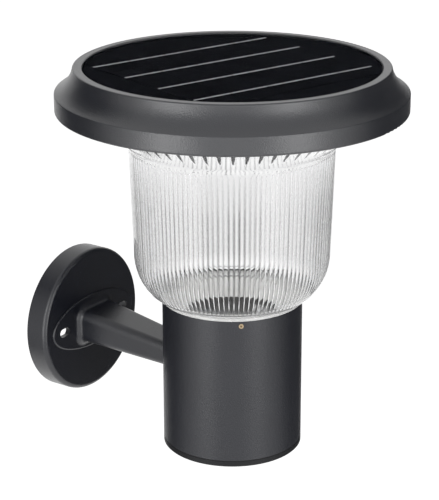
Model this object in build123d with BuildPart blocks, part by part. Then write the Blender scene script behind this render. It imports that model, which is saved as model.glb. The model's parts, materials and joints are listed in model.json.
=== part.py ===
from build123d import *

import os
from math import acos, asin, cos, degrees, hypot, radians, sin

# Solar wall light, in millimetres.
# The origin is the centre of the wall plate's back face. +Y goes into the wall, +Z is up.
# The lamp stands upright in front of the wall. Values ending in _h are heights over the foot of its tube.

# Wall plate
plate_radius = 45.0
plate_depth = 14.5
plate_wall = 2.0
plate_edge_round = 2.8
pad_length = 77.0
pad_height = 33.5
pad_rise = 1.2
pad_edge_round = 0.9
wall_slot_spacing = 56.0
wall_slot_length = 9.0
wall_slot_width = 5.4

# Arm, from the wall plate to the tube
reach = 121.0
plate_height = 52.5
arm_root_width = 31.3
arm_root_height = 20.9
arm_root_round = 5.5
arm_tip_width = 22.4
arm_tip_height = 14.4
arm_tip_round = 4.5
arm_drop = 6.3
arm_root_fillet = 4.0

# Tube and what is in it
tube_radius = 41.0
tube_wall = 2.5
tube_length = 86.4
bolt_radius = 2.0
bolt_spacing = 10.0
bolt_grip = 14.0
bolt_head_radius = 3.5
bolt_head_height = 2.6
saddle_width = 24.0
saddle_height = 13.0
saddle_depth = 5.5
cap_thickness = 3.4
cap_plug_height = 10.0
cap_plug_wall = 2.5
cap_edge_chamfer = 0.6
cap_drain_radius = 2.0
base_gasket_thickness = 0.6
set_screw_radius = 1.4
set_screw_drop = 2.6
set_screw_angle = -138.0
set_screw_count = 3
set_screw_proud = 0.3
set_screw_drive_depth = 1.0

# Seat of the head in the tube
seat_height = 20.0
seat_wall = 3.0
seat_flange_thickness = 1.6
seat_groove_depth = 0.6
seat_groove_width = 0.5
seat_floor = 2.5
seat_floor_drop = 13.8
seat_funnel_drop = 1.0
seat_hole_radius = 24.0
seat_boss_radius = 2.8
seat_screw_count = 3
plug_overlap = 2.5
plug_flange_height = 1.5
plug_depth = 4.0

# Lens
lens_wall = 2.5
lens_lip_margin = 4.6
lens_lip_thickness = 2.5
bowl_radius = 57.0
bowl_round_width = 21.5
bowl_round_height = 27.0
bowl_foot_dip = 0.8
lens_wall_height = 64.7
throat_radius = 59.2
flare_height = 22.8
flange_width = 4.2
flange_thickness = 2.5
lens_gasket_thickness = 0.6

# Hood
hood_radius = 100.0
hood_height = 25.3
hood_band_height = 10.9
hood_bottom_round = 1.6
hood_wall = 2.5
hood_service_width = 10.5
hood_slope_drop = 1.6
crease_round = 0.6
cove_lean = 13.0
rim_inset = 10.4
rim_width = 5.7
rim_edge_round = 1.0
rim_edge_straight = 0.2
panel_recess_depth = 3.6
ledge_width = 10.2
ledge_thickness = 2.2
post_radius = 3.4
post_count = 4
boss_radius = 3.1
boss_wall_gap = 1.9
boss_top_drop = 1.5
boss_count = 6

# Underplate, reflector and lamps
underplate_recess = 0.4
underplate_thickness = 2.0
reflector_thickness = 1.5
led_board_radius = 32.0
led_board_thickness = 1.6
led_length = 3.5
led_width = 2.8
led_height = 0.7
led_outer_inset = 10.0
led_outer_count = 16
led_inner_inset = 20.0
led_inner_count = 8
led_screw_inset = 6.0
led_screw_length = 5.0
led_boss_radius = 2.6
led_boss_height = 4.0

# Solar panel
panel_gasket_thickness = 0.6
backboard_thickness = 1.2
cell_thickness = 0.25
cell_square = 125.0
cell_corner_margin = 0.6
cell_rows = 4
cells_in_row = 5
cell_gap = 0.3
cell_angle = -17.0
busbar_width = 1.1
busbar_thickness = 0.2
busbar_gap = 1.0
cover_thickness = 1.6
cover_pocket_margin = 0.2

# Control board and battery, on top of the reflector
board_length = 64.0
board_width = 44.0
board_thickness = 1.6
board_clear = 6.0
board_corner_round = 2.0
standoff_height = 4.0
standoff_radius = 3.0
standoff_inset = 4.0
board_screw_radius = 1.2
board_screw_length = 4.5
chip_length = 10.0
chip_width = 6.2
chip_height = 1.7
coil_radius = 4.0
coil_height = 5.0
capacitor_radius = 3.0
capacitor_height = 6.5
part_spacing = 16.0
capacitor_spacing = 9.0
connector_length = 7.5
connector_width = 5.0
connector_height = 5.5
connector_spacing = 34.5
battery_radius = 7.1
battery_length = 50.5
holder_wall = 1.2
holder_floor = 0.7
holder_height = 10.0
holder_clear = 14.3
contact_thickness = 0.5
contact_width = 9.0
contact_height = 8.0

# Switch and button
switch_wall = 0.6
switch_top = 1.3
switch_wall_gap = 0.7
switch_cavity_gap = 0.4
switch_cavity_height = 4.2
button_radius = 3.0
button_proud = 1.6
button_edge_round = 0.8
button_collar_width = 0.6
button_collar_height = 0.8

# Inner wires
lead_radius = 0.7
lead_pitch = 2.6
lead_bend = 4.0
lead_run_rise = 1.6
lead_slot_length = 7.0
lead_slot_width = 3.0
lead_slot_inset = 5.0

# Screws and fits
small_screw_radius = 1.5
small_screw_length = 10.0
small_head_radius = 2.7
small_head_height = 1.8
drive_share = 0.5
drive_depth_share = 0.5
head_round_share = 0.33
seat_gap = 0.1
thread_gap = 0.05
drop_in_gap = 0.2
body_gap = 0.3
turning_gap = 0.5
clearance_hole_gap = 0.25
pick_tolerance = 0.01

# Heights over the tube's foot, from the bottom up
foot_z = -plate_height
arm_tip_h = plate_height - arm_drop
tube_bottom_h = cap_thickness + base_gasket_thickness
tube_top_h = tube_bottom_h + tube_length
set_screw_h = tube_top_h - set_screw_drop
seat_flange_h = tube_top_h + body_gap
lens_foot_h = seat_flange_h + seat_flange_thickness
seat_floor_top_h = lens_foot_h - seat_floor_drop
lip_top_h = lens_foot_h + lens_lip_thickness
bowl_top_h = lens_foot_h + bowl_round_height
throat_h = bowl_top_h + lens_wall_height
flange_bottom_h = throat_h + flare_height
flange_top_h = flange_bottom_h + flange_thickness
reflector_top_h = flange_top_h + reflector_thickness
led_board_bottom_h = flange_top_h - led_board_thickness
underplate_top_h = flange_bottom_h - lens_gasket_thickness
underplate_bottom_h = underplate_top_h - underplate_thickness
hood_bottom_h = underplate_bottom_h - underplate_recess
band_top_h = hood_bottom_h + hood_band_height
rim_top_h = hood_bottom_h + hood_height
ledge_top_h = rim_top_h - panel_recess_depth
ledge_bottom_h = ledge_top_h - ledge_thickness
backboard_bottom_h = ledge_top_h + panel_gasket_thickness
backboard_top_h = backboard_bottom_h + backboard_thickness
cells_top_h = backboard_top_h + cell_thickness
busbar_top_h = cells_top_h + busbar_thickness
board_bottom_h = reflector_top_h + standoff_height
board_top_h = board_bottom_h + board_thickness
connector_top_h = board_top_h + connector_height

# Radii and places about the lamp axis
tube_bore = tube_radius - tube_wall
saddle_flat = tube_bore - saddle_depth
seat_radius = tube_bore - turning_gap
seat_boss_circle = seat_radius - seat_wall - seat_boss_radius / 2
hood_inner_radius = hood_radius - hood_wall
flange_radius = hood_inner_radius - hood_service_width
flange_root_radius = flange_radius - flange_width
underplate_radius = hood_inner_radius - body_gap
underplate_opening = flange_root_radius + body_gap
rim_radius = hood_radius - rim_inset
panel_recess_radius = rim_radius - rim_width
panel_radius = panel_recess_radius - drop_in_gap
cell_wafer_radius = panel_radius - cell_corner_margin
ledge_inner_radius = panel_recess_radius - ledge_width
post_circle = ledge_inner_radius + post_radius
boss_circle = hood_inner_radius - boss_wall_gap - boss_radius
led_screw_circle = led_board_radius - led_screw_inset
board_offset = -board_clear - board_width / 2
button_collar_radius = button_radius + button_collar_width
switch_cavity_radius = button_collar_radius + switch_cavity_gap
switch_size = 2 * (switch_cavity_radius + switch_wall)
switch_height = switch_cavity_height + switch_top
switch_circle = hood_inner_radius - switch_wall_gap - switch_size / 2

lamp_axis = Axis((0, -reach, 0), (0, 0, 1))
profile_plane = Plane(origin=(0, -reach, foot_z), x_dir=(1, 0, 0), z_dir=(0, -1, 0))

os.makedirs("parts", exist_ok=True)


def level(height, x=0.0, y=0.0):
    """Level plane at a height over the tube's foot, its origin at (x, y) from the lamp axis."""
    return Plane(origin=(x, y - reach, foot_z + height))


def level_down(height):
    """The same plane on the lamp axis, facing down."""
    return Plane(origin=(0, -reach, foot_z + height), x_dir=(1, 0, 0), z_dir=(0, 0, -1))


def radial_plane(height, radius, angle):
    """Upright plane at a distance from the lamp axis, facing outward."""
    outward = Vector(cos(radians(angle)), sin(radians(angle)), 0)
    centre = Vector(0, -reach, foot_z + height) + outward * radius
    return Plane(origin=centre, x_dir=(0, 0, 1), z_dir=outward)


def wall_facing_plane(height):
    """Upright plane through the lamp axis, facing the wall."""
    return Plane(origin=(0, -reach, foot_z + height), x_dir=(1, 0, 0), z_dir=(0, 1, 0))


def make_screw(shank_radius, shank_length, head_radius, head_height):
    """Round-headed screw with a six-sided drive, the underside of its head at the origin."""
    with BuildPart() as screw:
        with BuildSketch():
            Circle(shank_radius)
        extrude(amount=-shank_length)
        with BuildSketch():
            Circle(head_radius)
        extrude(amount=head_height)
        head_edge = screw.edges().filter_by(GeomType.CIRCLE).sort_by(Axis.Z)[-1]
        fillet(head_edge, head_height * head_round_share)
        with BuildSketch(Plane.XY.offset(head_height)):
            RegularPolygon(head_radius * drive_share, 6)
        extrude(amount=-head_height * drive_depth_share, mode=Mode.SUBTRACT)
    return screw.part


def save(builder, name):
    """Label one finished piece and write it out."""
    builder.part.label = name
    export_step(builder.part, f"parts/{name}.step")


small_screw = make_screw(small_screw_radius, small_screw_length, small_head_radius, small_head_height)
led_screw = make_screw(board_screw_radius, led_screw_length, small_head_radius, small_head_height)
board_screw = make_screw(board_screw_radius, board_screw_length, small_head_radius, small_head_height)
bolt = make_screw(bolt_radius, saddle_depth + tube_wall + bolt_grip, bolt_head_radius, bolt_head_height)

# Wall bracket: a hollow round plate with an oval pad and a tapered arm, cast in one piece
pad_face_y = plate_depth + pad_rise
arm_root_reach = hypot(arm_root_width, arm_root_height) / 2
with BuildPart() as wall_bracket:
    with BuildSketch(Plane.XZ):
        Circle(plate_radius)
    extrude(amount=plate_depth)
    front_edge = wall_bracket.edges().filter_by(GeomType.CIRCLE).sort_by(Axis.Y)[0]
    fillet(front_edge, plate_edge_round)
    with BuildSketch(Plane.XZ):
        Circle(plate_radius - plate_wall)
    extrude(amount=plate_depth - plate_wall, mode=Mode.SUBTRACT)
    with BuildSketch(Plane.XZ.offset(plate_depth)):
        Ellipse(pad_length / 2, pad_height / 2)
    extrude(amount=pad_rise)
    pad_face = wall_bracket.faces().sort_by(Axis.Y)[0]
    fillet(pad_face.edges(), pad_edge_round)
    with BuildSketch(Plane.XZ.offset(plate_depth)):
        RectangleRounded(arm_root_width, arm_root_height, arm_root_round)
    with BuildSketch(Plane.XZ.offset(reach - tube_bore)):
        with Locations((0, -arm_drop)):
            RectangleRounded(arm_tip_width, arm_tip_height, arm_tip_round)
    loft()
    face_edges = wall_bracket.edges().filter_by_position(
        Axis.Y, -pad_face_y - pick_tolerance, -pad_face_y + pick_tolerance
    )
    root_edges = [
        edge
        for edge in face_edges
        if edge.length < arm_root_width and hypot(edge.center().X, edge.center().Z) < arm_root_reach
    ]
    fillet(root_edges, arm_root_fillet)
    with BuildSketch(level(0)):
        Circle(tube_radius + seat_gap)
    extrude(amount=tube_top_h, mode=Mode.SUBTRACT)
    with BuildSketch(Plane.XZ.offset(plate_depth - plate_wall)):
        with GridLocations(wall_slot_spacing, 0, 2, 1):
            SlotOverall(wall_slot_length, wall_slot_width)
    extrude(amount=plate_wall + pad_rise, mode=Mode.SUBTRACT)
    with BuildSketch(wall_facing_plane(arm_tip_h)):
        with GridLocations(bolt_spacing, 0, 2, 1):
            Circle(bolt_radius + thread_gap)
    extrude(amount=tube_radius + bolt_grip + seat_gap, mode=Mode.SUBTRACT)
save(wall_bracket, "wall_bracket")

# Support tube, drilled for the arm bolts and tapped for the set screws
with BuildPart() as body_tube:
    with BuildSketch(level(tube_bottom_h)):
        Circle(tube_radius)
        Circle(tube_bore, mode=Mode.SUBTRACT)
    extrude(amount=tube_top_h - tube_bottom_h)
    with BuildSketch(wall_facing_plane(arm_tip_h)):
        with GridLocations(bolt_spacing, 0, 2, 1):
            Circle(bolt_radius + clearance_hole_gap)
    extrude(amount=tube_radius + tube_wall, mode=Mode.SUBTRACT)
    for index in range(set_screw_count):
        angle = set_screw_angle + index * 360 / set_screw_count
        with BuildSketch(radial_plane(set_screw_h, 0, angle)):
            Circle(set_screw_radius + thread_gap)
        extrude(amount=tube_radius + tube_wall, mode=Mode.SUBTRACT)
save(body_tube, "body_tube")

# Set screws: headless brass screws with a slot, their tips just short of the seat
set_screw_length = tube_radius + set_screw_proud - seat_radius - body_gap
with BuildPart() as set_screws:
    for index in range(set_screw_count):
        angle = set_screw_angle + index * 360 / set_screw_count
        with BuildSketch(radial_plane(set_screw_h, seat_radius + body_gap, angle)):
            Circle(set_screw_radius)
        extrude(amount=set_screw_length)
        with BuildSketch(radial_plane(set_screw_h, tube_radius + set_screw_proud, angle)):
            RegularPolygon(set_screw_radius * drive_share, 6)
        extrude(amount=-set_screw_drive_depth, mode=Mode.SUBTRACT)
save(set_screws, "set_screws")

# Saddle block that spreads the arm bolts' pull inside the tube
with BuildPart() as clamp_saddle:
    with BuildSketch(level(arm_tip_h - saddle_height / 2)):
        Circle(tube_bore - seat_gap)
        with Locations((0, saddle_flat + tube_radius / 2)):
            Rectangle(saddle_width, tube_radius, mode=Mode.INTERSECT)
    extrude(amount=saddle_height)
    with BuildSketch(wall_facing_plane(arm_tip_h)):
        with GridLocations(bolt_spacing, 0, 2, 1):
            Circle(bolt_radius + clearance_hole_gap)
    extrude(amount=tube_radius, mode=Mode.SUBTRACT)
save(clamp_saddle, "clamp_saddle")

# Bolts from inside the tube into the arm, heads towards the lamp axis
bolt_plane = Plane(origin=(0, saddle_flat - reach, foot_z + arm_tip_h), x_dir=(1, 0, 0), z_dir=(0, -1, 0))
with BuildPart(bolt_plane) as arm_bolts:
    with GridLocations(bolt_spacing, 0, 2, 1):
        add(bolt)
save(arm_bolts, "arm_bolts")

# Cap under the tube, with a plug ring inside the bore and a drain hole
with BuildPart() as base_cap:
    with BuildSketch(level(0)):
        Circle(tube_radius)
    extrude(amount=cap_thickness)
    bottom_edge = base_cap.edges().filter_by(GeomType.CIRCLE).sort_by(Axis.Z)[0]
    chamfer(bottom_edge, cap_edge_chamfer)
    with BuildSketch(level(cap_thickness)):
        Circle(tube_bore - drop_in_gap)
        Circle(tube_bore - drop_in_gap - cap_plug_wall, mode=Mode.SUBTRACT)
    extrude(amount=cap_plug_height)
    with BuildSketch(level(0)):
        Circle(cap_drain_radius)
    extrude(amount=cap_thickness, mode=Mode.SUBTRACT)
save(base_cap, "base_cap")

with BuildPart() as base_gasket:
    with BuildSketch(level(cap_thickness)):
        Circle(tube_radius - drop_in_gap)
        Circle(tube_bore, mode=Mode.SUBTRACT)
    extrude(amount=base_gasket_thickness)
save(base_gasket, "base_gasket")

# Seat: white socket screwed under the lens, standing in the tube, with a grooved flange over the tube's rim
# and a funnel down to its plugged hole
seat_bore = seat_radius - seat_wall
funnel_foot_r = seat_hole_radius + plug_overlap + drop_in_gap
funnel_top_r = seat_bore + seat_wall / 2
funnel_top_h = lens_foot_h - seat_funnel_drop
with BuildPart() as head_seat:
    with BuildSketch(level(lens_foot_h - seat_height)):
        Circle(seat_radius)
        Circle(seat_bore, mode=Mode.SUBTRACT)
    extrude(amount=seat_height)
    with BuildSketch(level(seat_flange_h)):
        Circle(tube_radius)
        Circle(seat_bore, mode=Mode.SUBTRACT)
    extrude(amount=seat_flange_thickness)
    with BuildSketch(profile_plane):
        with Locations((tube_radius, seat_flange_h + seat_flange_thickness / 2)):
            Rectangle(2 * seat_groove_depth, seat_groove_width)
    revolve(axis=lamp_axis, mode=Mode.SUBTRACT)
    with BuildSketch(profile_plane):
        with BuildLine():
            Polyline(
                (seat_hole_radius, seat_floor_top_h),
                (seat_hole_radius, seat_floor_top_h - seat_floor),
                (funnel_foot_r, seat_floor_top_h - seat_floor),
                (funnel_top_r, funnel_top_h - seat_floor),
                (funnel_top_r, funnel_top_h),
                (funnel_foot_r, seat_floor_top_h),
                close=True,
            )
        make_face()
    revolve(axis=lamp_axis)
    with BuildSketch(level(seat_floor_top_h)):
        with PolarLocations(seat_boss_circle, seat_screw_count):
            Circle(seat_boss_radius)
    extrude(amount=seat_floor_drop)
    with BuildSketch(level(lens_foot_h)):
        with PolarLocations(seat_boss_circle, seat_screw_count):
            Circle(small_screw_radius + thread_gap)
    extrude(amount=-small_screw_length, mode=Mode.SUBTRACT)
save(head_seat, "head_seat")

with BuildPart() as socket_plug:
    with BuildSketch(level(seat_floor_top_h)):
        Circle(seat_hole_radius + plug_overlap)
    extrude(amount=plug_flange_height)
    with BuildSketch(level(seat_floor_top_h)):
        Circle(seat_hole_radius - drop_in_gap)
    extrude(amount=-plug_depth)
save(socket_plug, "socket_plug")

with BuildPart(level(lip_top_h)) as seat_screws:
    with PolarLocations(seat_boss_circle, seat_screw_count):
        add(small_screw)
save(seat_screws, "seat_screws")

# Lens: clear bowl of revolution with a flat lip, a rounded foot, an upright wall, a flare and a flange
bowl_centre_r = bowl_radius - bowl_round_width
bowl_round_depth = bowl_round_height + bowl_foot_dip
lens_lip_inner = seat_boss_circle - lens_lip_margin
foot_angle = degrees(acos((tube_radius - bowl_centre_r) / bowl_round_width))
foot_round_h = bowl_top_h - bowl_round_depth * sin(radians(foot_angle))
inner_round_width = bowl_round_width - lens_wall
inner_round_depth = bowl_round_depth - lens_wall
lip_angle = degrees(asin((bowl_top_h - lip_top_h) / inner_round_depth))
lip_round_r = bowl_centre_r + inner_round_width * cos(radians(lip_angle))
flare_slope = (flange_root_radius - throat_radius) / (flange_bottom_h - throat_h)
flare_shift = lens_wall * hypot(1, flare_slope)
flare_inner_top_r = flange_root_radius + flare_slope * flange_thickness - flare_shift
throat_inner_r = throat_radius - lens_wall
throat_inner_h = throat_h + (flare_shift - lens_wall) / flare_slope
with BuildPart() as lens:
    with BuildSketch(profile_plane):
        with BuildLine():
            Polyline(
                (lip_round_r, lip_top_h),
                (lens_lip_inner, lip_top_h),
                (lens_lip_inner, lens_foot_h),
                (tube_radius, lens_foot_h),
                (tube_radius, foot_round_h),
            )
            EllipticalCenterArc(
                (bowl_centre_r, bowl_top_h), bowl_round_width, bowl_round_depth, -foot_angle, arc_size=foot_angle
            )
            Polyline(
                (bowl_radius, bowl_top_h),
                (throat_radius, throat_h),
                (flange_root_radius, flange_bottom_h),
                (flange_radius, flange_bottom_h),
                (flange_radius, flange_top_h),
                (flare_inner_top_r, flange_top_h),
                (throat_inner_r, throat_inner_h),
                (bowl_radius - lens_wall, bowl_top_h),
            )
            EllipticalCenterArc(
                (bowl_centre_r, bowl_top_h), inner_round_width, inner_round_depth, -lip_angle, arc_size=lip_angle
            )
        make_face()
    revolve(axis=lamp_axis)
    with BuildSketch(level(lens_foot_h)):
        with PolarLocations(seat_boss_circle, seat_screw_count):
            Circle(small_screw_radius + clearance_hole_gap)
    extrude(amount=lens_lip_thickness, mode=Mode.SUBTRACT)
save(lens, "lens")

with BuildPart() as lens_gasket:
    with BuildSketch(level(underplate_top_h)):
        Circle(flange_radius)
        Circle(underplate_opening, mode=Mode.SUBTRACT)
    extrude(amount=lens_gasket_thickness)
save(lens_gasket, "lens_gasket")

# Hood: ring with a straight band, a crease, a hollow cove up to the rim and a ledge for the panel
rim_foot = (rim_radius, rim_top_h - rim_edge_round - rim_edge_straight)
cove_start = (sin(radians(cove_lean)), -cos(radians(cove_lean)))
inner_slope_top_r = rim_radius - hood_wall
inner_slope_h = band_top_h - hood_slope_drop
inner_slope = (ledge_bottom_h - inner_slope_h) / (hood_inner_radius - inner_slope_top_r)
boss_top_h = inner_slope_h + inner_slope * (hood_inner_radius - boss_circle) - boss_top_drop
boss_hole_depth = small_screw_length - underplate_thickness + body_gap
with BuildPart() as hood:
    with BuildSketch(profile_plane):
        with BuildLine():
            Line((hood_inner_radius, hood_bottom_h), (hood_radius, hood_bottom_h))
            Line((hood_radius, hood_bottom_h), (hood_radius, band_top_h))
            TangentArc(rim_foot, (hood_radius, band_top_h), tangent=cove_start)
            Polyline(
                rim_foot,
                (rim_radius, rim_top_h),
                (panel_recess_radius, rim_top_h),
                (panel_recess_radius, ledge_top_h),
                (ledge_inner_radius, ledge_top_h),
                (ledge_inner_radius, ledge_bottom_h),
                (inner_slope_top_r, ledge_bottom_h),
                (hood_inner_radius, inner_slope_h),
                (hood_inner_radius, hood_bottom_h),
            )
        make_face()
    revolve(axis=lamp_axis)
    rim_edges = hood.edges().filter_by(GeomType.CIRCLE).group_by(Axis.Z)[-1]
    fillet(rim_edges, rim_edge_round)
    band_edge = hood.edges().filter_by(GeomType.CIRCLE).group_by(Axis.Z)[0].sort_by(SortBy.LENGTH)[-1]
    fillet(band_edge, hood_bottom_round)
    crease_z = foot_z + band_top_h
    crease_edge = hood.edges().filter_by_position(Axis.Z, crease_z - pick_tolerance, crease_z + pick_tolerance)
    fillet(crease_edge, crease_round)
    with BuildSketch(level(reflector_top_h)):
        with PolarLocations(post_circle, post_count, start_angle=45):
            Circle(post_radius)
    extrude(amount=ledge_bottom_h - reflector_top_h)
    with BuildSketch(level(underplate_top_h)):
        with PolarLocations(boss_circle, boss_count):
            Circle(boss_radius)
    extrude(amount=boss_top_h - underplate_top_h)
    with BuildSketch(level(reflector_top_h)):
        with PolarLocations(post_circle, post_count, start_angle=45):
            Circle(small_screw_radius + thread_gap)
    extrude(amount=small_screw_length, mode=Mode.SUBTRACT)
    with BuildSketch(level(underplate_top_h)):
        with PolarLocations(boss_circle, boss_count):
            Circle(small_screw_radius + thread_gap)
    extrude(amount=boss_hole_depth, mode=Mode.SUBTRACT)
save(hood, "hood")

# Underplate: closes the hood from below and clamps the lens flange
with BuildPart() as underplate:
    with BuildSketch(level(underplate_bottom_h)):
        Circle(underplate_radius)
        Circle(underplate_opening, mode=Mode.SUBTRACT)
        with PolarLocations(boss_circle, boss_count):
            Circle(small_screw_radius + clearance_hole_gap, mode=Mode.SUBTRACT)
        with Locations((0, -switch_circle)):
            Circle(button_radius + body_gap, mode=Mode.SUBTRACT)
    extrude(amount=underplate_thickness)
save(underplate, "underplate")

with BuildPart(level_down(underplate_bottom_h)) as underplate_screws:
    with PolarLocations(boss_circle, boss_count):
        add(small_screw)
save(underplate_screws, "underplate_screws")

# Reflector: white plate over the lens that carries the lamps, the board and the battery
standoff_x = board_length - 2 * standoff_inset
standoff_y = board_width - 2 * standoff_inset
lead_slot_y = -board_clear - lead_slot_inset
with BuildPart() as reflector:
    with BuildSketch(level(flange_top_h)):
        Circle(flange_radius)
    extrude(amount=reflector_thickness)
    with BuildSketch(level(reflector_top_h, 0, board_offset)):
        with GridLocations(standoff_x, standoff_y, 2, 2):
            Circle(standoff_radius)
    extrude(amount=standoff_height)
    with BuildSketch(level(reflector_top_h)):
        with GridLocations(2 * led_screw_circle, 0, 2, 1):
            Circle(led_boss_radius)
    extrude(amount=led_boss_height)
    with BuildSketch(level(flange_top_h)):
        with PolarLocations(post_circle, post_count, start_angle=45):
            Circle(small_screw_radius + clearance_hole_gap)
        with Locations((0, lead_slot_y)):
            SlotOverall(lead_slot_length, lead_slot_width)
    extrude(amount=reflector_thickness, mode=Mode.SUBTRACT)
    with BuildSketch(level(flange_top_h)):
        with GridLocations(2 * led_screw_circle, 0, 2, 1):
            Circle(board_screw_radius + thread_gap)
    extrude(amount=led_screw_length, mode=Mode.SUBTRACT)
    with BuildSketch(level(board_bottom_h, 0, board_offset)):
        with GridLocations(standoff_x, standoff_y, 2, 2):
            Circle(board_screw_radius + thread_gap)
    extrude(amount=-board_screw_length + board_thickness, mode=Mode.SUBTRACT)
save(reflector, "reflector")

with BuildPart(level_down(flange_top_h)) as reflector_screws:
    with PolarLocations(post_circle, post_count, start_angle=45):
        add(small_screw)
save(reflector_screws, "reflector_screws")

# Lamp board under the reflector, with two rings of small lamps
with BuildPart() as led_board:
    with BuildSketch(level(led_board_bottom_h)):
        Circle(led_board_radius)
        with GridLocations(2 * led_screw_circle, 0, 2, 1):
            Circle(board_screw_radius + clearance_hole_gap, mode=Mode.SUBTRACT)
    extrude(amount=led_board_thickness)
save(led_board, "led_board")

with BuildPart() as leds:
    with BuildSketch(level(led_board_bottom_h)):
        for ring_inset, ring_count in ((led_outer_inset, led_outer_count), (led_inner_inset, led_inner_count)):
            with PolarLocations(led_board_radius - ring_inset, ring_count, start_angle=180 / ring_count):
                Rectangle(led_width, led_length)
    extrude(amount=-led_height)
save(leds, "leds")

with BuildPart(level_down(led_board_bottom_h)) as led_screws:
    with GridLocations(2 * led_screw_circle, 0, 2, 1):
        add(led_screw)
save(led_screws, "led_screws")

# Solar panel: sealing ring, backboard, cells, collector lines and clear cover
with BuildPart() as panel_gasket:
    with BuildSketch(level(ledge_top_h)):
        Circle(panel_radius)
        Circle(ledge_inner_radius, mode=Mode.SUBTRACT)
    extrude(amount=panel_gasket_thickness)
save(panel_gasket, "panel_gasket")

with BuildPart() as panel_backboard:
    with BuildSketch(level(backboard_bottom_h)):
        Circle(panel_radius)
    extrude(amount=backboard_thickness)
save(panel_backboard, "panel_backboard")

cell_pitch_x = cell_square / cells_in_row
cell_pitch_y = cell_square / cell_rows
with BuildPart() as solar_cells:
    with BuildSketch(level(backboard_top_h).rotated((0, 0, cell_angle))):
        with GridLocations(cell_pitch_x, cell_pitch_y, cells_in_row, cell_rows):
            Rectangle(cell_pitch_x - cell_gap, cell_pitch_y - cell_gap)
        Circle(cell_wafer_radius, mode=Mode.INTERSECT)
    extrude(amount=cell_thickness)
save(solar_cells, "solar_cells")

with BuildPart() as busbars:
    with BuildSketch(level(cells_top_h).rotated((0, 0, cell_angle))):
        with GridLocations(cell_pitch_x, cell_pitch_y, cells_in_row, cell_rows):
            Rectangle(cell_pitch_x - busbar_gap, busbar_width)
        Circle(cell_wafer_radius, mode=Mode.INTERSECT)
    extrude(amount=busbar_thickness)
save(busbars, "busbars")

with BuildPart() as panel_cover:
    with BuildSketch(level(backboard_top_h)):
        Circle(panel_radius)
    extrude(amount=cover_thickness)
    with BuildSketch(level(backboard_top_h).rotated((0, 0, cell_angle))):
        Rectangle(cell_square + cover_pocket_margin, cell_square + cover_pocket_margin)
        Circle(cell_wafer_radius + cover_pocket_margin, mode=Mode.INTERSECT)
    extrude(amount=busbar_top_h - backboard_top_h, mode=Mode.SUBTRACT)
save(panel_cover, "panel_cover")

# Control board with its parts and screws
connector_edge_y = (board_width - connector_width) / 2
connector_x = connector_spacing / 2
connector_places = [(connector_x, connector_edge_y), (-connector_x, connector_edge_y), (0, -connector_edge_y)]
with BuildPart() as control_board:
    with BuildSketch(level(board_bottom_h, 0, board_offset)):
        RectangleRounded(board_length, board_width, board_corner_round)
        with GridLocations(standoff_x, standoff_y, 2, 2):
            Circle(board_screw_radius + clearance_hole_gap, mode=Mode.SUBTRACT)
    extrude(amount=board_thickness)
save(control_board, "control_board")

with BuildPart() as board_parts:
    with BuildSketch(level(board_top_h, 0, board_offset)):
        Rectangle(chip_length, chip_width)
    extrude(amount=chip_height)
    with BuildSketch(level(board_top_h, 0, board_offset)):
        with Locations((-part_spacing, 0)):
            Circle(coil_radius)
    extrude(amount=coil_height)
    with BuildSketch(level(board_top_h, 0, board_offset)):
        with Locations((part_spacing, 0), (part_spacing, -capacitor_spacing)):
            Circle(capacitor_radius)
    extrude(amount=capacitor_height)
    with BuildSketch(level(board_top_h, 0, board_offset)):
        with Locations(*connector_places):
            Rectangle(connector_length, connector_width)
    extrude(amount=connector_height)
save(board_parts, "board_parts")

with BuildPart(level(board_top_h, 0, board_offset)) as board_screws:
    with GridLocations(standoff_x, standoff_y, 2, 2):
        add(board_screw)
save(board_screws, "board_screws")

# Battery: two cells side by side in an open tray with sprung end plates
holder_inner_length = battery_length + 2 * contact_thickness + 2 * drop_in_gap
holder_inner_width = 4 * battery_radius + 3 * drop_in_gap
holder_offset = holder_clear + holder_wall + holder_inner_width / 2
battery_axis_h = reflector_top_h + holder_floor + battery_radius
battery_pitch = 2 * battery_radius + drop_in_gap
with BuildPart() as battery_holder:
    with BuildSketch(level(reflector_top_h, 0, holder_offset)):
        Rectangle(holder_inner_length + 2 * holder_wall, holder_inner_width + 2 * holder_wall)
    extrude(amount=holder_height)
    with BuildSketch(level(reflector_top_h + holder_floor, 0, holder_offset)):
        Rectangle(holder_inner_length, holder_inner_width)
    extrude(amount=holder_height, mode=Mode.SUBTRACT)
save(battery_holder, "battery_holder")

battery_plane = Plane(
    origin=(-battery_length / 2, holder_offset - reach, foot_z + battery_axis_h), x_dir=(0, 1, 0), z_dir=(1, 0, 0)
)
with BuildPart() as battery_cells:
    with BuildSketch(battery_plane):
        with GridLocations(battery_pitch, 0, 2, 1):
            Circle(battery_radius)
    extrude(amount=battery_length)
save(battery_cells, "battery_cells")

contact_plane = level(reflector_top_h + holder_floor, 0, holder_offset)
with BuildPart() as battery_contacts:
    with BuildSketch(contact_plane):
        with GridLocations(holder_inner_length - contact_thickness, battery_pitch, 2, 2):
            Rectangle(contact_thickness, contact_width)
    extrude(amount=contact_height)
save(battery_contacts, "battery_contacts")

# Switch on the underplate, and the button that hangs in it
with BuildPart() as switch_body:
    with BuildSketch(level(underplate_top_h, 0, -switch_circle)):
        Rectangle(switch_size, switch_size)
    extrude(amount=switch_height)
    with BuildSketch(level(underplate_top_h, 0, -switch_circle)):
        Circle(switch_cavity_radius)
    extrude(amount=switch_cavity_height, mode=Mode.SUBTRACT)
save(switch_body, "switch_body")

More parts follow.
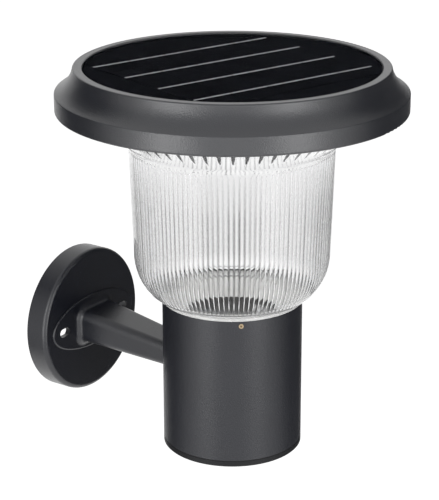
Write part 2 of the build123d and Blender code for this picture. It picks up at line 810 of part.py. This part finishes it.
button_bottom_h = underplate_bottom_h - button_proud
collar_bottom_h = underplate_top_h + body_gap
with BuildPart() as power_button:
    with BuildSketch(level(button_bottom_h, 0, -switch_circle)):
        Circle(button_radius)
    extrude(amount=collar_bottom_h - button_bottom_h)
    button_edge = power_button.edges().filter_by(GeomType.CIRCLE).sort_by(Axis.Z)[0]
    fillet(button_edge, button_edge_round)
    with BuildSketch(level(collar_bottom_h, 0, -switch_circle)):
        Circle(button_collar_radius)
    extrude(amount=button_collar_height)
save(power_button, "power_button")

# Inner wires, in pairs
lead_pair = (-lead_pitch / 2, lead_pitch / 2)
panel_lead_y = board_offset + connector_edge_y
with BuildPart() as panel_leads:
    with BuildSketch(level(connector_top_h, -connector_x, panel_lead_y)):
        with GridLocations(lead_pitch, 0, 2, 1):
            Circle(lead_radius)
    extrude(amount=backboard_bottom_h - connector_top_h)
save(panel_leads, "panel_leads")

with BuildPart() as led_leads:
    with BuildSketch(level(flange_top_h, 0, lead_slot_y)):
        with GridLocations(lead_pitch, 0, 2, 1):
            Circle(lead_radius)
    extrude(amount=board_bottom_h - flange_top_h)
save(led_leads, "led_leads")

battery_lead_h = reflector_top_h + holder_height - 2 * lead_radius
battery_lead_plane = Plane(
    origin=(connector_x, -board_clear - reach, foot_z + battery_lead_h), x_dir=(1, 0, 0), z_dir=(0, 1, 0)
)
with BuildPart() as battery_leads:
    with BuildSketch(battery_lead_plane):
        with GridLocations(lead_pitch, 0, 2, 1):
            Circle(lead_radius)
    extrude(amount=board_clear + holder_clear)
save(battery_leads, "battery_leads")

switch_top_h = underplate_top_h + switch_height
switch_run_h = board_top_h + lead_run_rise
outer_connector_y = -board_clear - board_width
with BuildPart() as switch_leads:
    for side in lead_pair:
        start = (side, -switch_circle - reach, foot_z + switch_top_h)
        corner = (side, -switch_circle - reach, foot_z + switch_run_h)
        finish = (side, outer_connector_y - reach, foot_z + switch_run_h)
        with BuildLine() as route:
            FilletPolyline(start, corner, finish, radius=lead_bend)
        with BuildSketch(Plane(origin=start, z_dir=(0, 0, 1))):
            Circle(lead_radius)
        sweep(path=route.line)
save(switch_leads, "switch_leads")
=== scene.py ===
import json
import math
import random

import bpy
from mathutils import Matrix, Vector


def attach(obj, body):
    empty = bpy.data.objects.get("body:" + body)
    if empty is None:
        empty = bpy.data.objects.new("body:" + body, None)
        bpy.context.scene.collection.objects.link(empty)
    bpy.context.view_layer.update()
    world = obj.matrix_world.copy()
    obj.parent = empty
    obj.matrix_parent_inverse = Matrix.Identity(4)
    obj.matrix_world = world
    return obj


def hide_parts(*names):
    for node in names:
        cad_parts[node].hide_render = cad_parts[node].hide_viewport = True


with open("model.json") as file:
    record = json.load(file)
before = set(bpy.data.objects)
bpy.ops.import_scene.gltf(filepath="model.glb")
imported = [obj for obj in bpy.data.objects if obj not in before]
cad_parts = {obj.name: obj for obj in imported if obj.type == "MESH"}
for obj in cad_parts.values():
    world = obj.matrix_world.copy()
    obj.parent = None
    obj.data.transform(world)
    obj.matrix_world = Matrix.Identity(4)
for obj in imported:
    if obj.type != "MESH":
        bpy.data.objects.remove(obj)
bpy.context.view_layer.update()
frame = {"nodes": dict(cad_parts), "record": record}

# Sizes are in millimetres, as in the part's source, and become metres where a mesh or a lamp is made.
# Heights are over the foot of the tube. Angles are about the lamp axis.
MM = 0.001
REACH = 121.0
FOOT_Z = -52.5
LAMP = Vector((0.0, -REACH, FOOT_Z)) * MM

# Camera, from the photograph's perspective. Its azimuth is seen from the wall's front, clockwise from above.
PHOTO_AZIMUTH = 55.0
CAMERA_DISTANCE = 967.0
CAMERA_HEIGHT = 457.0
CAMERA_PITCH = 19.26
FOCAL_PIXELS = 1767.0
AXIS_PIXEL_OFFSET = 12.8
IMAGE_HEIGHT = 500.0
SENSOR = 36.0

# Lens profile, as in the part's source, with its foot a hair above the seat and a thinner lip inside it.
# A thin skirt reaches down from the foot over the seat's flange.
LIP_INNER = 29.0
LIP_TOP = 92.95
LENS_WALL = 2.5
LENS_FOOT = 92.35
SKIRT_RADIUS = 41.4
SKIRT_INNER = 41.05
SKIRT_BOTTOM = 90.75
SKIRT_TOP = 92.4
BOWL_RADIUS = 57.0
BOWL_FOOT = 92.6
BOWL_TOP = 119.3
BOWL_ROUND_WIDTH = 21.5
BOWL_ROUND_DEPTH = 27.8
BOWL_INNER_DEPTH = 26.4
THROAT_RADIUS = 59.2
THROAT = 184.0
FLANGE_ROOT = 82.8
FLANGE_RADIUS = 87.0
FLANGE_BOTTOM = 206.8
FLANGE_TOP = 209.3
FLARE_SLOPE = (FLANGE_ROOT - THROAT_RADIUS) / (FLANGE_BOTTOM - THROAT)
FLARE_SHIFT = LENS_WALL * math.hypot(1.0, FLARE_SLOPE)
FLARE_INNER_TOP = FLANGE_ROOT + FLARE_SLOPE * (FLANGE_TOP - FLANGE_BOTTOM) - FLARE_SHIFT
THROAT_INNER = THROAT + (FLARE_SHIFT - LENS_WALL) / FLARE_SLOPE

# Flutes inside the lens wall, with grey lines between them: painted reflection of the dark hood and tube seen
# through the flutes, fainter near the top where the white LED board shows
FLUTES = 120
FLUTE_DEPTH = 0.75
FLUTE_TOP = 181.8
FLUTE_ARCH = 2.4
FLUTE_FADE = 1.6
FLUTE_FOOT = 94.0
FLUTE_FOOT_FADE = 8.0
FLUTE_ZONE_TOP = FLUTE_TOP + 0.5
LINE_START = 0.15
LINE_FADE = 32.0
LINE_LEAST = 0.12
LINE_SHARE = 0.5
LINE_SHADE_LEAST = 0.6
LINE_SEED = 7

# Wedge ribs inside the lens flare, greyed by painted reflection of the dark hood underside
WEDGES = 56
WEDGE_DEPTH = 1.3
WEDGE_START = 0.11
WEDGE_WIDTH = 0.92
WEDGE_EDGE = 0.25
WEDGE_CORE = 0.5

# Beads in relief round the throat and the collar of the lens, and grey rings round its foot, which are painted
# shade over the white seat flange behind them
BEAD_HEIGHT = 0.55
BEAD_HALF = 0.9
COLLAR_BEADS = (93.6, 95.3, 97.2)
COLLAR_BEAD_HEIGHT = 0.3
COLLAR_BEAD_HALF = 0.5
RINGS = (91.2, 92.1, 93.3)
RING_HALF = 0.4
RING_PAINTED_SHADE = 0.45

# Rows and steps of the lens mesh, with closer rows where the flutes end in arches
STEPS_PER_FLUTE = 7
SKIRT_ROWS = 6
FOOT_ROWS = 37
WALL_ROWS = 3
BEAD_ROWS = 6
FLARE_ROWS = 4
WEDGE_ROWS = 12
NECK_ROWS = 2
ARCH_ROWS = 9
ARCH_ROWS_TOP = FLUTE_TOP + 0.4
ARCH_ROWS_BOTTOM = FLUTE_TOP - FLUTE_ARCH - 0.6
INNER_WALL_ROWS = 5
INNER_FOOT_ROWS = 24
SHARP_ANGLE = math.radians(40.0)

# Clear sheet of the panel, over the cell lines. Its disc starts a hair off the axis.
SHEET_RADIUS = 83.7
SHEET_BOTTOM = 227.8
SHEET_TOP = 228.9
SHEET_EDGE = 0.3
SHEET_STEPS = 180
AXIS_RADIUS = 0.01

# Looks of the clear pieces. Their refractive index is lower than the real one, to match the photograph.
LENS_COLOUR = (0.96, 0.961, 0.963)
LENS_IOR = 1.22
LENS_ROUGHNESS = 0.02
LENS_SPECULAR = 0.5
# Colours the lens is greyed toward: painted reflection of the dark hood and tube on the flute lines and the
# wedge ribs. The grey foot rings are painted shade, drawn towards the line colour.
LINE_PAINTED_REFLECTION_COLOUR = (0.004, 0.004, 0.0043)
WEDGE_PAINTED_REFLECTION_COLOUR = (0.012, 0.012, 0.013)
PAINTED_REFLECTION_AND_SHADE = "painted_reflection_and_shade"
SHEET_COLOUR = (0.98, 0.98, 0.985)
SHEET_IOR = 1.004
SHEET_PATCH = 20.0
SHEET_SHADE = 0.99

# Looks of the record's other slots. Where a look leaves a value out, surface() has the usual one.
SURFACES = {
    "bracket_coat": dict(colour=(0.0065, 0.0075, 0.0125), roughness=0.3, specular=0.62, bump=0.12),
    "tube_coat": dict(colour=(0.0082, 0.0092, 0.0142), roughness=0.37, specular=0.52, bump=0.25),
    "hood_plastic": dict(colour=(0.005, 0.006, 0.0105), roughness=0.31, specular=0.92, bump=0.25),
    "cap_plastic": dict(colour=(0.011, 0.0115, 0.013), roughness=0.45, specular=0.22),
    "cell_black": dict(colour=(0.0065, 0.007, 0.009), roughness=0.5, specular=0.0, mottle=0.2),
    "board_black": dict(colour=(0.006, 0.0065, 0.0085), roughness=0.6, specular=0.0),
    "busbar_tin": dict(colour=(0.42, 0.425, 0.44), roughness=0.5, specular=0.2, mottle=0.25, patch=4.0),
    "seal_rubber": dict(colour=(0.012, 0.012, 0.013), roughness=0.7, specular=0.3),
    "screw_steel": dict(colour=(0.55, 0.55, 0.56), roughness=0.35, metallic=1.0),
    "screw_brass": dict(colour=(0.36, 0.28, 0.18), roughness=0.5, metallic=0.7),
    "saddle_metal": dict(colour=(0.5, 0.5, 0.51), roughness=0.5, metallic=1.0, bump=0.2),
    "white_plastic": dict(colour=(0.9, 0.9, 0.89), roughness=0.4, mottle=0.02),
    "led_board_white": dict(colour=(0.8, 0.8, 0.78), roughness=0.5, mottle=0.03),
    "led_phosphor": dict(colour=(0.8, 0.62, 0.18), roughness=0.3, grain=0.3, mottle=0.12, patch=1.5),
    "plug_rubber": dict(colour=(0.02, 0.02, 0.021), roughness=0.65, specular=0.3),
    "board_green": dict(colour=(0.015, 0.1, 0.045), roughness=0.4, patch=4.0),
    "component_black": dict(colour=(0.02, 0.02, 0.021), roughness=0.5, specular=0.4),
    "battery_wrap": dict(colour=(0.04, 0.15, 0.42), roughness=0.3),
    "switch_black": dict(colour=(0.014, 0.014, 0.015), roughness=0.45, specular=0.4),
    "button_rubber": dict(colour=(0.022, 0.022, 0.024), roughness=0.65, specular=0.3),
    "lead_sleeve": dict(colour=(0.22, 0.015, 0.015), roughness=0.5, specular=0.4),
}
NOISE_DETAIL = 3.0
ROUGHNESS_SPREAD = 0.06
PATCH_LOW = 0.3
PATCH_HIGH = 0.7

# Studio
WORLD_LIGHT = 0.2
WHITE = (1.0, 1.0, 1.0, 1.0)
FLOOR_DROP = 700.0
FLOOR_HALF = 30.0
FLOOR_COLOUR = (0.8, 0.8, 0.8, 1.0)
FLOOR_GLOW = 0.92
CARD_COLOUR = (0.25, 0.25, 0.255, 1.0)
LAMP_AIM = 130.0
SQUARE = ((-0.5, -0.5), (0.5, -0.5), (0.5, 0.5), (-0.5, 0.5))


def link(obj):
    """Put an object into the scene."""
    bpy.context.scene.collection.objects.link(obj)
    return obj


def new_material(name):
    """A node material and its main shader."""
    material = bpy.data.materials.new(name)
    material.use_nodes = True
    return material, material.node_tree.nodes["Principled BSDF"]


def noise(tree, size):
    """Noise on the object's own coordinates. The size of its blotches is in millimetres."""
    place = tree.nodes.new("ShaderNodeTexCoord")
    texture = tree.nodes.new("ShaderNodeTexNoise")
    texture.inputs["Scale"].default_value = 1.0 / (size * MM)
    texture.inputs["Detail"].default_value = NOISE_DETAIL
    tree.links.new(place.outputs["Object"], texture.inputs["Vector"])
    return texture.outputs["Fac"]


def ramp(tree, factor, stops):
    """Colour ramp with stops of (position, colour)."""
    node = tree.nodes.new("ShaderNodeValToRGB")
    elements = node.color_ramp.elements
    while len(elements) < len(stops):
        elements.new(1.0)
    for element, (position, colour) in zip(elements, stops):
        element.position = position
        element.color = (*colour, 1.0)
    tree.links.new(factor, node.inputs["Fac"])
    return node.outputs["Color"]


def shade(colour, factor):
    """A colour made lighter or darker."""
    return tuple(min(1.0, channel * factor) for channel in colour)


def surface(name, colour, roughness, specular=0.5, metallic=0.0, grain=0.7, bump=0.1, mottle=0.1, patch=30.0):
    """Moulded, coated or metal surface: fine grain in relief and gloss, soft patches in colour."""
    material, shader = new_material(name)
    tree = material.node_tree
    shader.inputs["Metallic"].default_value = metallic
    shader.inputs["Specular IOR Level"].default_value = specular
    stops = ((PATCH_LOW, shade(colour, 1.0 - mottle)), (PATCH_HIGH, shade(colour, 1.0 + mottle)))
    tree.links.new(ramp(tree, noise(tree, patch), stops), shader.inputs["Base Color"])
    fine = noise(tree, grain)
    spread = tree.nodes.new("ShaderNodeMapRange")
    spread.inputs["To Min"].default_value = roughness - ROUGHNESS_SPREAD
    spread.inputs["To Max"].default_value = roughness + ROUGHNESS_SPREAD
    tree.links.new(fine, spread.inputs["Value"])
    tree.links.new(spread.outputs["Result"], shader.inputs["Roughness"])
    relief = tree.nodes.new("ShaderNodeBump")
    relief.inputs["Strength"].default_value = bump
    relief.inputs["Distance"].default_value = grain * MM
    tree.links.new(fine, relief.inputs["Height"])
    tree.links.new(relief.outputs["Normal"], shader.inputs["Normal"])
    return material


def clear(name, ior, roughness, specular):
    """Clear moulded plastic, still without its colour."""
    material, shader = new_material(name)
    shader.inputs["Transmission Weight"].default_value = 1.0
    shader.inputs["IOR"].default_value = ior
    shader.inputs["Specular IOR Level"].default_value = specular
    shader.inputs["Roughness"].default_value = roughness
    return material, shader


def lens_plastic():
    """Clear plastic of the lens, greyed by painted reflection on its flute lines and wedge ribs and by painted
    shade in its foot rings, as its mesh attribute marks them.
    """
    material, shader = clear("lens_clear", LENS_IOR, LENS_ROUGHNESS, LENS_SPECULAR)
    tree = material.node_tree
    painted_reflection_and_shade = tree.nodes.new("ShaderNodeAttribute")
    painted_reflection_and_shade.attribute_name = PAINTED_REFLECTION_AND_SHADE
    stops = ((0.0, LENS_COLOUR), (LINE_SHARE, LINE_PAINTED_REFLECTION_COLOUR), (1.0, WEDGE_PAINTED_REFLECTION_COLOUR))
    tree.links.new(ramp(tree, painted_reflection_and_shade.outputs["Fac"], stops), shader.inputs["Base Color"])
    return material


def sheet_plastic():
    """Clear plastic of the panel's sheet, with faint patches."""
    material, shader = clear("panel_clear", SHEET_IOR, roughness=0.0, specular=0.0)
    tree = material.node_tree
    stops = ((PATCH_LOW, shade(SHEET_COLOUR, SHEET_SHADE)), (PATCH_HIGH, SHEET_COLOUR))
    tree.links.new(ramp(tree, noise(tree, SHEET_PATCH), stops), shader.inputs["Base Color"])
    return material


MATERIALS = {slot: surface(slot, **look) for slot, look in SURFACES.items()}
MATERIALS["lens_clear"] = lens_plastic()
MATERIALS["panel_clear"] = sheet_plastic()

for part in frame["record"]["subparts"]:
    node = frame["nodes"][part["node"]]
    node.data.materials.clear()
    node.data.materials.append(MATERIALS[part["material_slot"]])


def smooth_step(value):
    """Soft ramp from 0 to 1."""
    value = min(1.0, max(0.0, value))
    return value * value * (3.0 - 2.0 * value)


def around(angle, count):
    """Place within one of so many equal repeats, from -1 to 1."""
    share = angle * count / (2.0 * math.pi)
    return 2.0 * (share - math.floor(share)) - 1.0


def bead(height, centre, half, rise):
    """How far a rounded bead round the lens stands out at a height."""
    share = (height - centre) / half
    return rise * math.sqrt(1.0 - share * share) if abs(share) < 1.0 else 0.0


def bowl_round(width, depth, low, rows):
    """Rows of the round foot, from a height up to the upright wall."""
    points = []
    centre = BOWL_RADIUS - BOWL_ROUND_WIDTH
    start = math.asin((BOWL_TOP - low) / depth)
    for row in range(rows + 1):
        angle = start * (1.0 - row / rows)
        points.append((centre + width * math.cos(angle), BOWL_TOP - depth * math.sin(angle)))
    return points


def between(start, end, rows):
    """Evenly spaced profile points after the start, up to and with the end."""
    return [
        (start[0] + (end[0] - start[0]) * row / rows, start[1] + (end[1] - start[1]) * row / rows)
        for row in range(1, rows + 1)
    ]


def lens_outside():
    """Outer profile, from the lip's inner edge up to the flange's top edge."""
    bead_bottom = (THROAT_RADIUS, THROAT - BEAD_HALF)
    bead_top = (THROAT_RADIUS, THROAT + BEAD_HALF)
    flare_start = (THROAT_RADIUS + BEAD_HALF, THROAT + BEAD_HALF)
    points = [(LIP_INNER, LENS_FOOT), (SKIRT_INNER, LENS_FOOT)]
    points += [(SKIRT_INNER, SKIRT_BOTTOM), (SKIRT_RADIUS, SKIRT_BOTTOM)]
    points += between(points[-1], (SKIRT_RADIUS, SKIRT_TOP), SKIRT_ROWS)
    points += bowl_round(BOWL_ROUND_WIDTH, BOWL_ROUND_DEPTH, BOWL_FOOT, FOOT_ROWS)
    points += between((BOWL_RADIUS, BOWL_TOP), bead_bottom, WALL_ROWS)
    points += between(bead_bottom, bead_top, BEAD_ROWS)
    points += between(flare_start, (FLANGE_ROOT, FLANGE_BOTTOM), FLARE_ROWS)
    points += [(FLANGE_RADIUS, FLANGE_BOTTOM), (FLANGE_RADIUS, FLANGE_TOP)]
    shaped = []
    for radius, height in points:
        rise = bead(height, THROAT, BEAD_HALF, BEAD_HEIGHT)
        rise += sum(bead(height, centre, COLLAR_BEAD_HALF, COLLAR_BEAD_HEIGHT) for centre in COLLAR_BEADS)
        shaped.append((radius + rise, height))
    return shaped


def lens_inside():
    """Inner profile, from the flange's inner edge down to the lip."""
    throat_inner = THROAT_RADIUS - LENS_WALL
    points = [(FLARE_INNER_TOP, FLANGE_TOP)]
    points += between(points[-1], (throat_inner, THROAT_INNER), WEDGE_ROWS)
    points += between(points[-1], (throat_inner, ARCH_ROWS_TOP), NECK_ROWS)
    points += between(points[-1], (throat_inner, ARCH_ROWS_BOTTOM), ARCH_ROWS)
    points += between(points[-1], (BOWL_RADIUS - LENS_WALL, BOWL_TOP), INNER_WALL_ROWS)
    foot = bowl_round(BOWL_ROUND_WIDTH - LENS_WALL, BOWL_INNER_DEPTH, LIP_TOP, INNER_FOOT_ROWS)
    return points + foot[-2::-1] + [(LIP_INNER, LIP_TOP)]


draw = random.Random(LINE_SEED)
LINE_SHADES = [draw.uniform(LINE_SHADE_LEAST, 1.0) for line in range(FLUTES)]


def flute_share(angle, height):
    """How far a flute stands in at a place on the inner wall, and how much painted reflection greys the line
    between two flutes there.
    """
    across = around(angle, FLUTES)
    round_share = math.sqrt(max(0.0, 1.0 - across * across))
    top = FLUTE_TOP - FLUTE_ARCH * (1.0 - round_share)
    ends = smooth_step((top - height) / FLUTE_FADE) * smooth_step((height - FLUTE_FOOT) / FLUTE_FOOT_FADE)
    line = smooth_step((abs(across) - LINE_START) / (1.0 - LINE_START))
    # Painted reflection: the lines are faint near the top, where the white LED board shows through, and full
    # lower down, each at its own random strength.
    strength = LINE_LEAST + (1.0 - LINE_LEAST) * smooth_step((FLUTE_TOP - height) / LINE_FADE)
    strength *= LINE_SHADES[round(angle * FLUTES / (2.0 * math.pi)) % FLUTES]
    return round_share * ends, LINE_SHARE * line * ends * strength


def wedge_share(angle, height):
    """The same for the wedge ribs in the flare, whose painted reflection of the dark hood is greyest near
    their edges.
    """
    climb = (height - THROAT_INNER) / (FLANGE_TOP - THROAT_INNER)
    grown = (climb - WEDGE_START) / (1.0 - WEDGE_START)
    if grown <= 0.0:
        return 0.0, 0.0
    across = abs(around(angle, WEDGES)) / (WEDGE_WIDTH * grown)
    ridge = max(0.0, 1.0 - across)
    edge = smooth_step(ridge / WEDGE_EDGE)
    core = smooth_step((ridge - WEDGE_CORE) / WEDGE_CORE)
    return ridge * grown, edge - WEDGE_CORE * core


def ring_share(radius, height):
    """How much painted shade of the grey rings round the foot lies on a place of the outer face."""
    if radius < SKIRT_RADIUS:
        return 0.0
    return RING_PAINTED_SHADE * max(smooth_step(1.0 - abs(height - ring) / RING_HALF) for ring in RINGS)


def inner_relief(angle, height):
    """How far the inner face stands in at a place, in millimetres, and how much painted reflection greys the
    place.
    """
    if height < FLUTE_ZONE_TOP:
        share, painted_reflection_and_shade = flute_share(angle, height)
        return FLUTE_DEPTH * share, painted_reflection_and_shade
    if height > THROAT_INNER:
        share, painted_reflection_and_shade = wedge_share(angle, height)
        return WEDGE_DEPTH * share, painted_reflection_and_shade
    return 0.0, 0.0


def on_head(radius, angle, height):
    """Point at a radius from the lamp axis, in metres."""
    return LAMP + Vector((radius * math.cos(angle), radius * math.sin(angle), height)) * MM


def ring_mesh(name, verts, rows, steps, slot):
    """Object of closed rings, each joined to the next one and the last to the first."""
    faces = []
    for row in range(rows):
        low = row * steps
        high = (row + 1) % rows * steps
        for step in range(steps):
            beside = (step + 1) % steps
            faces.append((low + step, low + beside, high + beside, high + step))
    mesh = bpy.data.meshes.new(name)
    mesh.from_pydata(verts, [], faces)
    mesh.shade_smooth()
    mesh.set_sharp_from_angle(angle=SHARP_ANGLE)
    mesh.materials.append(MATERIALS[slot])
    return link(bpy.data.objects.new(name, mesh))


def make_lens():
    """Fluted lens: one closed mesh of revolution with flutes and wedge ribs pressed into its inner face."""
    outside = lens_outside()
    profile = outside + lens_inside()
    steps = FLUTES * STEPS_PER_FLUTE
    verts = []
    painted_reflections_and_shades = []
    for row, (radius, height) in enumerate(profile):
        for step in range(steps):
            angle = 2.0 * math.pi * step / steps
            # Painted shade of the foot rings on the outer face, painted reflection of the flutes and wedge
            # ribs on the inner face.
            if row < len(outside):
                stand, painted_reflection_and_shade = 0.0, ring_share(radius, height)
            else:
                stand, painted_reflection_and_shade = inner_relief(angle, height)
            verts.append(on_head(radius - stand, angle, height))
            painted_reflections_and_shades.append(painted_reflection_and_shade)
    lens = ring_mesh("lens_fluted", verts, len(profile), steps, "lens_clear")
    attribute = lens.data.attributes.new(PAINTED_REFLECTION_AND_SHADE, "FLOAT", "POINT")
    attribute.data.foreach_set("value", painted_reflections_and_shades)
    lens.visible_shadow = False
    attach(lens, "head")
    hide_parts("lens")


def make_sheet():
    """Clear sheet of the panel with a softened upper edge."""
    profile = [(AXIS_RADIUS, SHEET_BOTTOM), (SHEET_RADIUS, SHEET_BOTTOM)]
    profile += [(SHEET_RADIUS, SHEET_TOP - SHEET_EDGE), (SHEET_RADIUS - SHEET_EDGE, SHEET_TOP)]
    profile += [(AXIS_RADIUS, SHEET_TOP)]
    verts = []
    for radius, height in profile:
        for step in range(SHEET_STEPS):
            verts.append(on_head(radius, 2.0 * math.pi * step / SHEET_STEPS, height))
    sheet = ring_mesh("panel_sheet", verts, len(profile), SHEET_STEPS, "panel_clear")
    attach(sheet, "head")
    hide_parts("panel_cover")


def toward(turn):
    """Level direction from the lamp axis, turned from the camera's side to the right as the camera sees it."""
    angle = math.radians(turn - PHOTO_AZIMUTH)
    return Vector((math.sin(angle), -math.cos(angle), 0.0))


def up(height):
    """Upright step."""
    return Vector((0.0, 0.0, height))


def seen_directly(tree):
    """1 for rays that see the backdrop straight, through glass or in a mirror, and 0 for rays that light."""
    path = tree.nodes.new("ShaderNodeLightPath")
    total = path.outputs["Is Camera Ray"]
    for kind in ("Is Glossy Ray", "Is Transmission Ray"):
        either = tree.nodes.new("ShaderNodeMath")
        either.operation = "MAXIMUM"
        tree.links.new(total, either.inputs[0])
        tree.links.new(path.outputs[kind], either.inputs[1])
        total = either.outputs["Value"]
    return total


def make_world():
    """Even pale surroundings that are plain white where they are seen."""
    world = bpy.data.worlds.new("studio")
    world.use_nodes = True
    tree = world.node_tree
    tree.nodes.clear()
    light = tree.nodes.new("ShaderNodeBackground")
    light.inputs["Strength"].default_value = WORLD_LIGHT
    white = tree.nodes.new("ShaderNodeBackground")
    for background in (light, white):
        background.inputs["Color"].default_value = WHITE
    mix = tree.nodes.new("ShaderNodeMixShader")
    out = tree.nodes.new("ShaderNodeOutputWorld")
    tree.links.new(seen_directly(tree), mix.inputs["Fac"])
    tree.links.new(light.outputs["Background"], mix.inputs[1])
    tree.links.new(white.outputs["Background"], mix.inputs[2])
    tree.links.new(mix.outputs["Shader"], out.inputs["Surface"])
    bpy.context.scene.world = world


def make_floor():
    """Wide pale floor well below the light, which hangs on a wall."""
    material = bpy.data.materials.new("floor")
    material.use_nodes = True
    tree = material.node_tree
    tree.nodes.clear()
    paint = tree.nodes.new("ShaderNodeBsdfDiffuse")
    paint.inputs["Color"].default_value = FLOOR_COLOUR
    glow = tree.nodes.new("ShaderNodeEmission")
    glow.inputs["Strength"].default_value = FLOOR_GLOW
    both = tree.nodes.new("ShaderNodeAddShader")
    mix = tree.nodes.new("ShaderNodeMixShader")
    out = tree.nodes.new("ShaderNodeOutputMaterial")
    tree.links.new(paint.outputs["BSDF"], both.inputs[0])
    tree.links.new(glow.outputs["Emission"], both.inputs[1])
    tree.links.new(seen_directly(tree), mix.inputs["Fac"])
    tree.links.new(paint.outputs["BSDF"], mix.inputs[1])
    tree.links.new(both.outputs["Shader"], mix.inputs[2])
    tree.links.new(mix.outputs["Shader"], out.inputs["Surface"])
    side = 2.0 * FLOOR_HALF
    height = (FOOT_Z - FLOOR_DROP) * MM
    mesh = bpy.data.meshes.new("floor")
    mesh.from_pydata([(x * side, y * side, height) for x, y in SQUARE], [], [(0, 1, 2, 3)])
    mesh.materials.append(material)
    link(bpy.data.objects.new("floor", mesh))


def make_lamp(name, turn, height, distance, width, tall, power):
    """Soft box that faces the light. It isn't seen through the lens, which would hide in its glare."""
    lamp = bpy.data.lights.new(name, "AREA")
    lamp.shape = "RECTANGLE"
    lamp.size = width * MM
    lamp.size_y = tall * MM
    lamp.energy = power
    obj = link(bpy.data.objects.new(name, lamp))
    obj.visible_transmission = False
    obj.location = LAMP + (toward(turn) * distance + up(height)) * MM
    target = LAMP + up(LAMP_AIM) * MM
    obj.rotation_euler = (target - obj.location).to_track_quat("-Z", "Y").to_euler()


def make_card(name, turn, height, distance, width, tall):
    """Grey card beside the light, seen only in reflections, for the darker parts of them."""
    material, shader = new_material(name)
    shader.inputs["Base Color"].default_value = CARD_COLOUR
    shader.inputs["Specular IOR Level"].default_value = 0.0
    along = toward(turn + 90.0)
    verts = []
    for across, rise in SQUARE:
        place = toward(turn) * distance + along * across * width + up(height + rise * tall)
        verts.append(LAMP + place * MM)
    mesh = bpy.data.meshes.new(name)
    mesh.from_pydata(verts, [], [(0, 1, 2, 3)])
    mesh.materials.append(material)
    card = link(bpy.data.objects.new(name, mesh))
    card.visible_camera = False
    card.visible_transmission = False
    card.visible_diffuse = False
    card.visible_shadow = False


def make_camera():
    """Camera at the photograph's place."""
    camera = bpy.data.cameras.new("camera")
    camera.sensor_width = SENSOR
    camera.lens = FOCAL_PIXELS * SENSOR / IMAGE_HEIGHT
    camera.shift_x = -AXIS_PIXEL_OFFSET / IMAGE_HEIGHT
    obj = link(bpy.data.objects.new("camera", camera))
    obj.location = LAMP + (toward(0.0) * CAMERA_DISTANCE + up(CAMERA_HEIGHT)) * MM
    obj.rotation_euler = (math.radians(90.0 - CAMERA_PITCH), 0.0, math.radians(-PHOTO_AZIMUTH))
    bpy.context.scene.camera = obj


make_lens()
make_sheet()
make_world()
make_floor()
make_lamp("soft_left", turn=-40.0, height=230.0, distance=1100.0, width=480.0, tall=1300.0, power=6.6)
make_lamp("soft_right", turn=39.0, height=230.0, distance=1100.0, width=480.0, tall=1300.0, power=6.0)
make_lamp("soft_front", turn=0.0, height=130.0, distance=1200.0, width=500.0, tall=1200.0, power=1.7)
make_card("card_right", turn=122.0, height=250.0, distance=1000.0, width=1500.0, tall=1900.0)
make_card("card_left", turn=-114.0, height=210.0, distance=1000.0, width=1100.0, tall=1820.0)
make_camera()

bpy.context.scene.view_settings.view_transform = "Standard"
